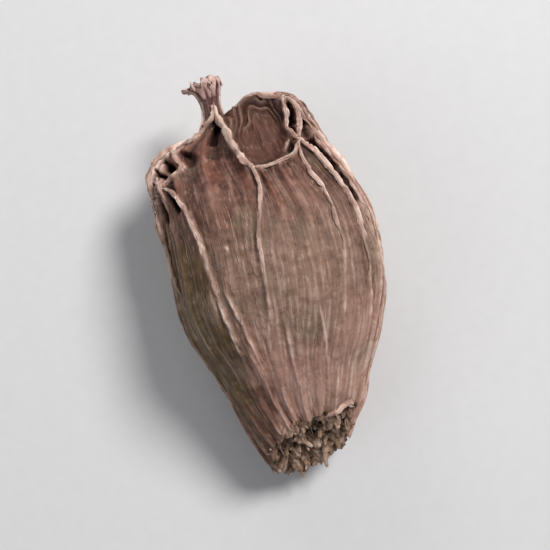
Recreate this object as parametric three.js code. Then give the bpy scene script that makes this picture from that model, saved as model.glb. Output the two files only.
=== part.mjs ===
import * as THREE from 'three';

// A dried black cardamom pod lying on one side, in millimetres.
// +Y runs from the torn stalk end to the dry calyx, +X is the pod's right, +Z is up.
// The origin is on the resting surface, under the middle of the pod.

// Driving dimensions
const POD_LENGTH = 32.6; // lower lip of the torn end to the tip of the calyx
const AXIS_OFFSET = 0.355; // from the middle of the pod to the line that the outline is measured from
const POD_WIDTH = 17.4;
const POD_HEIGHT = 14.2;
const SQUARENESS = 0.045; // how far a turn swells between its four quarters
const REST_DEPTH = 0.3; // how much of the belly the small resting flat takes away

// The mesh: six facets from rib to rib, so every gap holds two fine strands
const FACETS_PER_GAP = 6;
const COLOUR = 0x6b5247;

const TAU = 2 * Math.PI;
const radians = (degrees) => (degrees * TAU) / 360;

// The husk is a stack of turns. Each one is given by where it meets the plan outline on the left and
// on the right, as shares of the width and length, by the share of the height at its lowest and
// highest point, and by its nod, the share of the length by which its top leads its bottom.
// The rows say how many rings of facets lead on to the next turn.
const TURNS = {
  scarFloor: { left: [-0.05, -0.385], right: [0.15, -0.36], low: 0.3, high: 0.47, nod: 0.055, rows: 1 },
  scarWall: { left: [-0.12, -0.425], right: [0.235, -0.375], low: 0.235, high: 0.53, nod: 0.105, rows: 1 },
  tornRim: { left: [-0.145, -0.45], right: [0.262, -0.39], low: 0.2, high: 0.56, nod: 0.125, rows: 2 },
  stalkEnd: { left: [-0.235, -0.345], right: [0.318, -0.345], low: 0.145, high: 0.67, nod: 0.09, rows: 3 },
  lowerTaper: { left: [-0.3, -0.25], right: [0.375, -0.25], low: 0.085, high: 0.8, nod: 0.05, rows: 4 },
  upperTaper: { left: [-0.375, -0.16], right: [0.44, -0.16], low: 0.03, high: 0.91, nod: 0.02, rows: 4 },
  belly: { left: [-0.42, -0.065], right: [0.485, -0.065], low: -0.005, high: 0.98, nod: 0, rows: 4 },
  waist: { left: [-0.432, 0.035], right: [0.495, 0.035], low: -0.018, high: 1, nod: 0, rows: 4 },
  upperBelly: { left: [-0.436, 0.14], right: [0.465, 0.145], low: -0.01, high: 0.975, nod: 0, rows: 4 },
  underShoulder: { left: [-0.438, 0.22], right: [0.38, 0.25], low: 0.04, high: 0.9, nod: -0.015, rows: 4 },
  shoulder: { left: [-0.438, 0.275], right: [0.295, 0.332], low: 0.12, high: 0.81, nod: -0.02, rows: 4 },
  roofEdge: { left: [-0.39, 0.316], right: [0.24, 0.39], low: 0.22, high: 0.74, nod: -0.015, rows: 4 },
  roof: { left: [-0.3, 0.336], right: [0.16, 0.423], low: 0.32, high: 0.69, nod: 0, rows: 3 },
  crown: { left: [-0.22, 0.353], right: [0.03, 0.43], low: 0.41, high: 0.66, nod: 0, rows: 2 },
  neckRoot: { left: [-0.19, 0.385], right: [-0.075, 0.395], low: 0.49, high: 0.625, nod: 0, rows: 2 },
  neck: { left: [-0.18, 0.425], right: [-0.1, 0.43], low: 0.52, high: 0.61, nod: 0, rows: 2 },
  calyxCup: { left: [-0.205, 0.46], right: [-0.09, 0.475], low: 0.5, high: 0.645, nod: 0, rows: 2 },
  calyxLip: { left: [-0.25, 0.47], right: [-0.095, 0.487], low: 0.46, high: 0.665, nod: 0, rows: 1 },
  calyxMouth: { left: [-0.215, 0.47], right: [-0.11, 0.482], low: 0.5, high: 0.62, nod: 0, rows: 1 },
};

// The main ribs, in degrees round the pod from its right side over the top: where each one runs at
// the shoulder, the waist and the torn end, and how high it stands there in millimetres.
const TOP_RIBS = [
  { at: [20, 19, 17], height: [0.9, 0.5, 0.25] },
  { at: [35, 31, 32], height: [0.9, 0.6, 0.4] },
  { at: [53, 51, 56], height: [0.4, 0.35, 0.3] },
  { at: [68, 67, 73], height: [0.2, 0.2, 0.2] },
  { at: [79, 82, 88], height: [0.2, 0.25, 0.2] },
  { at: [88, 97, 104], height: [0.3, 0.25, 0.2] },
  { at: [113, 119, 114], height: [0.2, 0.25, 0.25] },
  { at: [139, 129, 125], height: [0.7, 0.45, 0.3] },
  { at: [155, 148, 146], height: [0.8, 0.3, 0.25] },
  { at: [171, 168, 167], height: [1.0, 0.4, 0.3] },
];
const UNDERSIDE_RIBS = 9;
const UNDERSIDE_HEIGHT = [0.7, 0.45, 0.3];
const UNDERSIDE_SPREAD = { place: 0.16, height: 0.4 }; // how far the draws move and swell those ribs
const RIB_STATIONS = { torn: -0.4, waist: 0, shoulder: 0.3 }; // shares of the length
const RIB_FOOT = 0.385; // how far a rib's foot reaches, as a share of the gap beside it
const RIB_SHARPNESS = 1.5;
const RIB_MEAN = 0.3; // the share of a rib's height that the husk beside it gives up
const STRANDS_PER_GAP = 3;
const STRAND_HEIGHT = 0.06;
const FULL_RELIEF_WIDTH = 0.6; // a turn narrower than this share of the width has lower relief

// How deep the shrunken skin sags between two ribs, from none near the torn end to all of it at the
// shoulder, at these shares of the length
const GAP_SAG = { depth: 0.35, none: -0.35, all: 0.35 };

// Ruffles that curl the crests of the underside from the shoulder to the roof, which start and reach
// their full size at these shares of the length. The height and sway are in millimetres, the waves are
// per turn, and the last two are sines of the angle round the pod.
const RUFFLE = {
  from: 0.15,
  to: 0.27,
  height: 0.2,
  sway: 0.25,
  waves: 0.75,
  unevenness: 0.35,
  shift: 2.3,
  allBelow: -0.45,
  noneAbove: 0.1,
};

// The collapsed pocket beside the neck, open to the top, as shares of the width, length and height.
// The floor, wall and rim widths are shares of its own radius. Only skin that faces up sinks, over
// this range of the sine of its angle.
const POCKET = {
  x: 0.065,
  y: 0.345,
  across: 0.125,
  along: 0.1,
  depth: 0.115,
  floorEnd: 0.5,
  wallEnd: 1.1,
  rimHeight: 0.028,
  rimWidth: 0.17,
  facing: [0.1, 0.5],
};

// Cords of tougher tissue that stand out of the upper skin. Each runs through the points [x, y] of its
// path, in plan and measured from the outline's own middle line, and may fade over the last share of
// it. The fork is where two of them leave the neck, and the crossing is where those right of the
// pocket meet.
const FORK = [-2.25, 12.9];
const CROSSING = [3.87, 10.03];
const CORDS = {
  leftFork: {
    height: 0.45,
    width: 0.42,
    path: [[-2.4, 14], FORK, [-3.6, 11.7], [-4.9, 11.35], [-5.9, 11.1]],
  },
  shoulderFold: { height: 0.35, width: 0.36, path: [[-5.8, 10.7], [-5.2, 9.4], [-6.1, 8.8], [-7.3, 8.1]] },
  shoulderRim: { height: 0.4, width: 0.38, path: [[-8.1, 7.2], [-8.1, 9.5], [-6.8, 11], [-5.8, 11.15]] },
  leftRib: {
    height: 0.42,
    width: 0.4,
    fade: 0.6,
    path: [[-7.3, 8.1], [-5.9, 6.7], [-4.8, 3.2], [-4.3, 0], [-3.5, -4], [-2.6, -7.5]],
  },
  rightFork: { height: 0.5, width: 0.45, path: [[-2.2, 14.2], FORK, [-1.5, 11], [-0.4, 8.7], [0.05, 8.2]] },
  middleRib: {
    height: 0.32,
    width: 0.38,
    fade: 0.6,
    path: [[0.05, 8.2], [0.3, 6.4], [-0.4, 2.4], [-0.5, -2.5], [-0.6, -7]],
  },
  pocketEdge: { height: 0.35, width: 0.36, path: [CROSSING, [3.1, 8.8], [1.3, 8.2], [0.05, 8.2]] },
  loop: { height: 0.4, width: 0.4, path: [[3.6, 13.7], [3.75, 11.6], CROSSING] },
  flankRib: {
    height: 0.42,
    width: 0.4,
    fade: 0.6,
    path: [CROSSING, [5.5, 8.15], [6.9, 5.5], [7.6, 1.5], [7.3, -3], [6.2, -8]],
  },
  innerRib: {
    height: 0.32,
    width: 0.38,
    fade: 0.6,
    path: [CROSSING, [4.1, 7.7], [5.4, 4.4], [5.8, 1.3], [5, -4], [4.4, -8]],
  },
};
const CURVE_STEPS = 12; // straight pieces between two points of a path

// Hollows where the skin has sunk between the cords
const GAPS = {
  shoulder: { depth: 0.7, width: 0.5, path: [[-7.2, 9.7], [-6.4, 9.7]] },
  underFork: { depth: 0.5, width: 0.45, path: [[-2.4, 12], [-2.75, 10.9]] },
  besideLoop: { depth: 0.6, width: 0.4, path: [[4.7, 12], [4.75, 10.4]] },
  flank: { depth: 0.6, width: 0.45, path: [[4.9, 10.2], [6.45, 7.7], [7.4, 5.2]] },
};

// Skin carries the cords and gaps where its outward direction rises this much. They keep their width
// on a slope, down to the steepest rise.
const CORD_FACING = { none: 0.05, all: 0.4, steepest: 0.3 };

// The torn rims: how far their teeth reach at the stalk end and at the calyx, and how uneven the
// broken fibres of the scar are, in millimetres, and how far up the husk the teeth reach, in turns.
// A rim's edge is part long teeth on the ribs and part short ones on the strands.
const TORN = {
  stalkTeeth: 0.6,
  calyxTeeth: 0.2,
  fibres: 0.4,
  fibresPerGap: 2,
  reach: 0.6,
  longShare: 0.6,
  longUnevenness: 0.4,
};

// Where the repeatable draws for each purpose begin
const DRAWS = {
  underPlace: 0,
  underHeight: 40,
  waves: 60,
  longTeeth: 90,
  shortTeeth: 200,
  fibres: 300,
  fibresOfNextRow: 50,
};

// A repeatable draw between -1 and 1 for the whole number n
function draw(n) {
  const value = Math.sin(n * 12.9898 + 4.1414) * 43758.5453;
  return 2 * (value - Math.floor(value)) - 1;
}

function smoothstep(from, to, x) {
  const t = Math.min(1, Math.max(0, (x - from) / (to - from)));
  return t * t * (3 - 2 * t);
}

// A bell curve of height 1 round a middle
const bump = (x, middle, width) => Math.exp(-(((x - middle) / width) ** 2));

function catmullRom(a, b, c, d, t) {
  const quadratic = 2 * a - 5 * b + 4 * c - d;
  const cubic = 3 * b - a - 3 * c + d;
  return 0.5 * (2 * b + (c - a) * t + quadratic * t * t + cubic * t * t * t);
}

function allRibs() {
  const first = TOP_RIBS[TOP_RIBS.length - 1].at[1];
  const step = (360 + TOP_RIBS[0].at[1] - first) / (UNDERSIDE_RIBS + 1);
  const under = Array.from({ length: UNDERSIDE_RIBS }, (_, k) => {
    const middle = first + (k + 1) * step;
    const swell = 1 + UNDERSIDE_SPREAD.height * draw(k + DRAWS.underHeight);
    const places = [0, 1, 2].map((s) => draw(3 * k + s + DRAWS.underPlace));
    return {
      at: places.map((drawn) => middle + UNDERSIDE_SPREAD.place * step * drawn),
      height: UNDERSIDE_HEIGHT.map((h) => h * swell),
    };
  });
  return [...TOP_RIBS, ...under];
}

// The points of a smooth curve through a path
function curveThrough(path) {
  const control = [path[0], ...path, path[path.length - 1]];
  const points = [];
  for (let i = 0; i + 3 < control.length; i += 1) {
    const [a, b, c, d] = control.slice(i, i + 4);
    for (let step = 0; step < CURVE_STEPS; step += 1) {
      const t = step / CURVE_STEPS;
      points.push([catmullRom(a[0], b[0], c[0], d[0], t), catmullRom(a[1], b[1], c[1], d[1], t)]);
    }
  }
  return [...points, path[path.length - 1]];
}

// The distance from a point in plan to a curve, and the share of the curve at the nearest place
function nearest(curve, x, y) {
  let found = { distance: Infinity, share: 0 };
  const pieces = curve.length - 1;
  for (let i = 0; i < pieces; i += 1) {
    const [startX, startY] = curve[i];
    const alongX = curve[i + 1][0] - startX;
    const alongY = curve[i + 1][1] - startY;
    const share = ((x - startX) * alongX + (y - startY) * alongY) / (alongX * alongX + alongY * alongY);
    const t = Math.min(1, Math.max(0, share));
    const distance = Math.hypot(x - startX - t * alongX, y - startY - t * alongY);
    if (distance < found.distance) found = { distance, share: (i + t) / pieces };
  }
  return found;
}

const laid = (line, size) => ({ ...line, size, curve: curveThrough(line.path) });
const cords = Object.values(CORDS).map((cord) => laid(cord, cord.height));
const gaps = Object.values(GAPS).map((gap) => laid(gap, gap.depth));

// How far the cords raise skin of a given rise over a point in plan, less what the gaps sink it
function cordRelief(x, y, rise) {
  const reliefOf = ({ curve, size, width, fade = 0 }) => {
    const { distance, share } = nearest(curve, x, y);
    const left = fade > 0 ? smoothstep(1, 1 - fade, share) : 1;
    return size * left * bump(distance / Math.max(rise, CORD_FACING.steepest), 0, width);
  };
  const carried = smoothstep(CORD_FACING.none, CORD_FACING.all, rise);
  return carried * (Math.max(...cords.map(reliefOf)) - Math.max(...gaps.map(reliefOf)));
}

const RIBS = allRibs();
const STACK = Object.values(TURNS);
const PLACE = Object.fromEntries(Object.keys(TURNS).map((name, place) => [name, place]));

// A turn between two named ones, in millimetres, at the fractional place p in the stack
function turnAt(p) {
  const i = Math.min(STACK.length - 2, Math.floor(p));
  const four = [i - 1, i, i + 1, i + 2].map((k) => STACK[Math.min(STACK.length - 1, Math.max(0, k))]);
  const blend = (read) => catmullRom(...four.map(read), p - i);
  return {
    leftX: POD_WIDTH * blend((t) => t.left[0]),
    leftY: POD_LENGTH * blend((t) => t.left[1]),
    rightX: POD_WIDTH * blend((t) => t.right[0]),
    rightY: POD_LENGTH * blend((t) => t.right[1]),
    low: POD_HEIGHT * blend((t) => t.low),
    high: POD_HEIGHT * blend((t) => t.high),
    nod: POD_LENGTH * blend((t) => t.nod),
  };
}

// The smooth husk, before ribs: the point at an angle round the turn at place p
function smoothPoint(angle, p) {
  const turn = turnAt(p);
  const swell = 1 + SQUARENESS * Math.sin(2 * angle) ** 2;
  const across = Math.cos(angle) * swell;
  const up = Math.sin(angle) * swell;
  return new THREE.Vector3(
    (turn.leftX + turn.rightX) / 2 + (across * (turn.rightX - turn.leftX)) / 2,
    (turn.leftY + turn.rightY) / 2 + (across * (turn.rightY - turn.leftY)) / 2 + (up * turn.nod) / 2,
    (turn.low + turn.high) / 2 + (up * (turn.high - turn.low)) / 2,
  );
}

// The unit directions out of the husk and round its turn
function directions(angle, p) {
  const turnStep = 0.02;
  const placeStep = 0.05;
  const round = smoothPoint(angle + turnStep, p).sub(smoothPoint(angle - turnStep, p)).normalize();
  const along = smoothPoint(angle, Math.min(p + placeStep, STACK.length - 1));
  along.sub(smoothPoint(angle, Math.max(p - placeStep, 0)));
  return { outward: along.cross(round).normalize(), round };
}

// A rib's value between its three stations, at the share y of the length
function alongRib([shoulder, waist, torn], y) {
  const { torn: low, waist: middle, shoulder: high } = RIB_STATIONS;
  const up = smoothstep(middle, high, y);
  const down = smoothstep(middle, low, y);
  return waist + (shoulder - waist) * up + (torn - waist) * down;
}

// How near a share of a gap is to its rib: 1 on the crest, and 0 from the rib's foot on
const crest = (away) => Math.max(0, 1 - away / RIB_FOOT) ** RIB_SHARPNESS;

// The height of the husk's relief between rib k and the next one
function relief(k, share, y) {
  const before = alongRib(RIBS[k].height, y);
  const after = alongRib(RIBS[(k + 1) % RIBS.length].height, y);
  const ribs = before * crest(share) + after * crest(1 - share);
  const mean = RIB_MEAN * (before + (after - before) * share);
  const sag = GAP_SAG.depth * Math.sin(Math.PI * share) * smoothstep(GAP_SAG.none, GAP_SAG.all, y);
  const offCrests = (1 - crest(share)) * (1 - crest(1 - share));
  const strands = STRAND_HEIGHT * Math.cos(STRANDS_PER_GAP * TAU * share) * offCrests;
  return ribs - mean - sag + strands;
}

// How far the pocket beside the neck sinks a point that faces up
function pocketDepth(x, y) {
  const across = (x / POD_WIDTH - POCKET.x) / POCKET.across;
  const along = (y / POD_LENGTH - POCKET.y) / POCKET.along;
  const out = Math.hypot(across, along);
  const bowl = POCKET.depth * smoothstep(POCKET.wallEnd, POCKET.floorEnd, out);
  const rim = POCKET.rimHeight * bump(out, POCKET.wallEnd, POCKET.rimWidth);
  return POD_HEIGHT * (bowl - rim);
}

// The uneven edge of a torn rim: long teeth on the ribs, short ones on the strands between
function tooth(k, share) {
  const strand = STRANDS_PER_GAP * k + Math.round(STRANDS_PER_GAP * share);
  const size = 1 - TORN.longUnevenness * (1 - draw(k + DRAWS.longTeeth));
  const long = size * Math.cos(TAU * share);
  return TORN.longShare * long + (1 - TORN.longShare) * draw(strand + DRAWS.shortTeeth);
}

// How far a broken fibre of the scar reaches, for the row of facets at place p
function brokenFibre(k, share, p) {
  const fibre = Math.round(TORN.fibresPerGap * (k + share)) % (TORN.fibresPerGap * RIBS.length);
  return TORN.fibres * draw(fibre + DRAWS.fibres + DRAWS.fibresOfNextRow * Math.round(p));
}

function huskPoint(k, share, p) {
  const middle = smoothPoint(TAU / 4, p).add(smoothPoint(-TAU / 4, p)).multiplyScalar(0.5);
  const y = middle.y / POD_LENGTH;
  const from = alongRib(RIBS[k].at, y);
  const next = alongRib(RIBS[(k + 1) % RIBS.length].at, y) + (k + 1 === RIBS.length ? 360 : 0);
  const angle = radians(from + (next - from) * share);
  const point = smoothPoint(angle, p);
  const { outward, round } = directions(angle, p);

  const turn = turnAt(p);
  const girth = Math.min(1, (turn.rightX - turn.leftX) / (FULL_RELIEF_WIDTH * POD_WIDTH));
  const body = girth * smoothstep(PLACE.tornRim - 1, PLACE.tornRim + 1, p);
  const ruffled = smoothstep(RUFFLE.noneAbove, RUFFLE.allBelow, Math.sin(angle));
  const curl = ruffled * (crest(share) + crest(1 - share)) * smoothstep(RUFFLE.from, RUFFLE.to, y);
  const rib = Math.round(k + share);
  const waves = RUFFLE.waves * (1 + RUFFLE.unevenness * draw(rib + DRAWS.waves));
  const phase = TAU * waves * p + RUFFLE.shift * rib;
  const height = relief(k, share, y) + RUFFLE.height * curl * Math.sin(phase);
  point.addScaledVector(outward, height * body);
  point.addScaledVector(round, RUFFLE.sway * curl * Math.cos(phase) * body);

  const { x, y: inPlan } = point;
  const belowNeck = smoothstep(PLACE.neck, PLACE.neckRoot, p);
  point.addScaledVector(outward, belowNeck * cordRelief(x, inPlan, outward.z));
  point.z -= smoothstep(...POCKET.facing, Math.sin(angle)) * pocketDepth(x, inPlan);

  const edge = tooth(k, share);
  point.y -= TORN.stalkTeeth * edge * bump(p, PLACE.tornRim, TORN.reach);
  point.y += TORN.calyxTeeth * edge * bump(p, PLACE.calyxLip, TORN.reach);
  point.y += brokenFibre(k, share, p) * smoothstep(PLACE.tornRim, PLACE.scarFloor, p);
  point.x -= AXIS_OFFSET;
  point.z = Math.max(0, point.z - REST_DEPTH * smoothstep(PLACE.tornRim, PLACE.upperTaper, p));
  return point;
}

function huskGeometry() {
  const places = [];
  STACK.slice(0, -1).forEach((turn, i) => {
    for (let r = 0; r < turn.rows; r += 1) places.push(i + r / turn.rows);
  });
  places.push(STACK.length - 1);

  const columns = RIBS.length * FACETS_PER_GAP;
  const positions = [];
  for (const p of places) {
    for (let c = 0; c < columns; c += 1) {
      const k = Math.floor(c / FACETS_PER_GAP);
      positions.push(...huskPoint(k, (c % FACETS_PER_GAP) / FACETS_PER_GAP, p));
    }
  }

  const index = [];
  for (let row = 0; row < places.length - 1; row += 1) {
    for (let c = 0; c < columns; c += 1) {
      const a = row * columns + c;
      const b = row * columns + ((c + 1) % columns);
      index.push(a, a + columns, b, b, a + columns, b + columns);
    }
  }
  for (const row of [0, places.length - 1]) {
    const centre = new THREE.Vector3();
    for (let c = 0; c < columns; c += 1) {
      centre.add(new THREE.Vector3().fromArray(positions, 3 * (row * columns + c)));
    }
    const pole = positions.length / 3;
    positions.push(...centre.divideScalar(columns));
    for (let c = 0; c < columns; c += 1) {
      const a = row * columns + c;
      const b = row * columns + ((c + 1) % columns);
      index.push(...(row === 0 ? [pole, a, b] : [pole, b, a]));
    }
  }

  const geometry = new THREE.BufferGeometry();
  geometry.setAttribute('position', new THREE.Float32BufferAttribute(positions, 3));
  geometry.setIndex(index);
  geometry.computeVertexNormals();
  return geometry;
}

const material = new THREE.MeshStandardMaterial({
  color: COLOUR,
  roughness: 0.85,
  metalness: 0,
  flatShading: true,
});
const pod = new THREE.Mesh(huskGeometry(), material);
pod.name = 'pod';

const group = new THREE.Group();
group.add(pod);

export default group;
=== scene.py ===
import functools
import math
from collections import namedtuple
from types import SimpleNamespace

import bpy
import numpy as np
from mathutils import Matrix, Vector
from mathutils.bvhtree import BVHTree


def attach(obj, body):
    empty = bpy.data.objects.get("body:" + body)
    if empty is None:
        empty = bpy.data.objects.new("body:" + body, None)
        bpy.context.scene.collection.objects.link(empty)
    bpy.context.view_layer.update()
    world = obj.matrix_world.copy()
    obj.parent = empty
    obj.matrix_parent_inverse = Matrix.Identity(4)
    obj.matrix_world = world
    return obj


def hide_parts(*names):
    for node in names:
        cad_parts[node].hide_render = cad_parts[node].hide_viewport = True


# A dried black cardamom pod. Shapes are worked out in millimetres, as in the solid model, and
# become metres when a mesh is made. +Y runs from the torn stalk end to the dry calyx.

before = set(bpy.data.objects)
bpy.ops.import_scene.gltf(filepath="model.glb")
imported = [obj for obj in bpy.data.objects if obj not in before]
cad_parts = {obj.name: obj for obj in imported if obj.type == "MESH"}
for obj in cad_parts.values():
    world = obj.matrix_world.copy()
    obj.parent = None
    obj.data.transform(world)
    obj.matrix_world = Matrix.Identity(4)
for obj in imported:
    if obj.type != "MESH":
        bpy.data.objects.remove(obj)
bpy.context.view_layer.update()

MM = 0.001
TAU = 2 * math.pi

# Driving dimensions, the same as the solid's
POD_LENGTH = 32.6
AXIS_OFFSET = 0.355
POD_WIDTH = 17.4
POD_HEIGHT = 14.2
SQUARENESS = 0.045
REST_DEPTH = 0.3

# The husk as a stack of turns, in shares of the pod's size: the left (x, y) and right (x, y) of its
# plan outline, its low and high, and how far its top lies ahead of its foot
TURNS = {
    "scar_floor": (-0.05, -0.385, 0.15, -0.36, 0.3, 0.47, 0.055),
    "scar_wall": (-0.12, -0.425, 0.235, -0.375, 0.235, 0.53, 0.105),
    "torn_rim": (-0.145, -0.45, 0.262, -0.39, 0.2, 0.56, 0.125),
    "stalk_end": (-0.235, -0.345, 0.318, -0.345, 0.145, 0.67, 0.09),
    "lower_taper": (-0.3, -0.25, 0.375, -0.25, 0.085, 0.8, 0.05),
    "upper_taper": (-0.375, -0.16, 0.44, -0.16, 0.03, 0.91, 0.02),
    "belly": (-0.42, -0.065, 0.485, -0.065, -0.005, 0.98, 0),
    "waist": (-0.432, 0.035, 0.495, 0.035, -0.018, 1, 0),
    "upper_belly": (-0.436, 0.14, 0.465, 0.145, -0.01, 0.975, 0),
    "under_shoulder": (-0.438, 0.22, 0.38, 0.25, 0.04, 0.9, -0.015),
    "shoulder": (-0.438, 0.275, 0.295, 0.332, 0.12, 0.81, -0.02),
    "roof_edge": (-0.39, 0.316, 0.24, 0.39, 0.22, 0.74, -0.015),
    "roof": (-0.3, 0.336, 0.16, 0.423, 0.32, 0.69, 0),
    "crown": (-0.22, 0.353, 0.03, 0.43, 0.41, 0.66, 0),
    "neck_root": (-0.19, 0.385, -0.075, 0.395, 0.49, 0.625, 0),
    "neck": (-0.18, 0.425, -0.1, 0.43, 0.52, 0.61, 0),
    "calyx_cup": (-0.205, 0.46, -0.09, 0.475, 0.5, 0.645, 0),
    "calyx_lip": (-0.25, 0.47, -0.095, 0.487, 0.46, 0.665, 0),
    "calyx_mouth": (-0.215, 0.47, -0.11, 0.482, 0.5, 0.62, 0),
}
PLACE = {name: place for place, name in enumerate(TURNS)}
LAST_PLACE = len(TURNS) - 1
TORN_RIM = PLACE["torn_rim"]
OUTLINE_SCALE = np.array(
    [POD_WIDTH, POD_LENGTH, POD_WIDTH, POD_LENGTH, POD_HEIGHT, POD_HEIGHT, POD_LENGTH]
)
STACK = np.array(list(TURNS.values())) * OUTLINE_SCALE

# Main ribs: degrees round the pod and height, each at the shoulder, the waist and the torn end
TOP_RIBS = [
    ((20, 19, 17), (0.9, 0.5, 0.25)),
    ((35, 31, 32), (0.9, 0.6, 0.4)),
    ((53, 51, 56), (0.4, 0.35, 0.3)),
    ((68, 67, 73), (0.2, 0.2, 0.2)),
    ((79, 82, 88), (0.2, 0.25, 0.2)),
    ((88, 97, 104), (0.3, 0.25, 0.2)),
    ((113, 119, 114), (0.2, 0.25, 0.25)),
    ((139, 129, 125), (0.7, 0.45, 0.3)),
    ((155, 148, 146), (0.8, 0.3, 0.25)),
    ((171, 168, 167), (1.0, 0.4, 0.3)),
]
UNDERSIDE_RIBS = 9
UNDERSIDE_HEIGHT = np.array([0.7, 0.45, 0.3])
UNDERSIDE_STRAY, UNDERSIDE_VARIES = 0.16, 0.4
RIB_COUNT = len(TOP_RIBS) + UNDERSIDE_RIBS
TORN_STATION, WAIST_STATION, SHOULDER_STATION = -0.4, 0.0, 0.3
RIB_MEAN = 0.3
RUFFLE = {"from": 0.15, "to": 0.27, "height": 0.2, "sway": 0.25, "waves": 0.75, "shift": 2.3}
STEEPEST_CORD = 0.3  # the least rise of skin on which a cord keeps its width
STEEPEST_GAP = 0.55  # and on which a gap grows deeper as the skin grows steeper
POCKET = {"x": 0.065, "y": 0.345, "across": 0.125, "along": 0.1, "depth": 0.115,
          "floor_end": 0.5, "wall_end": 1.1, "rim_height": 0.028, "rim_width": 0.17}
FOLDS_IN_POCKET = 5  # arcs of folded skin from its middle to its rim
BROAD_WAVES = 10  # round the pod
TORN = {"stalk_teeth": 0.6, "calyx_teeth": 0.3, "lumps": 0.8, "sunk": 0.5, "reach": 0.6}
# Heights of the skin's fine relief
RELIEF = {"strand": 0.07, "thread": 0.045, "face": 0.03, "wrinkle": 0.02, "shoulder_wrinkle": 0.09,
          "shoulder_lumps": 0.1, "grain": 0.012, "broad": 0.18}

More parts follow.
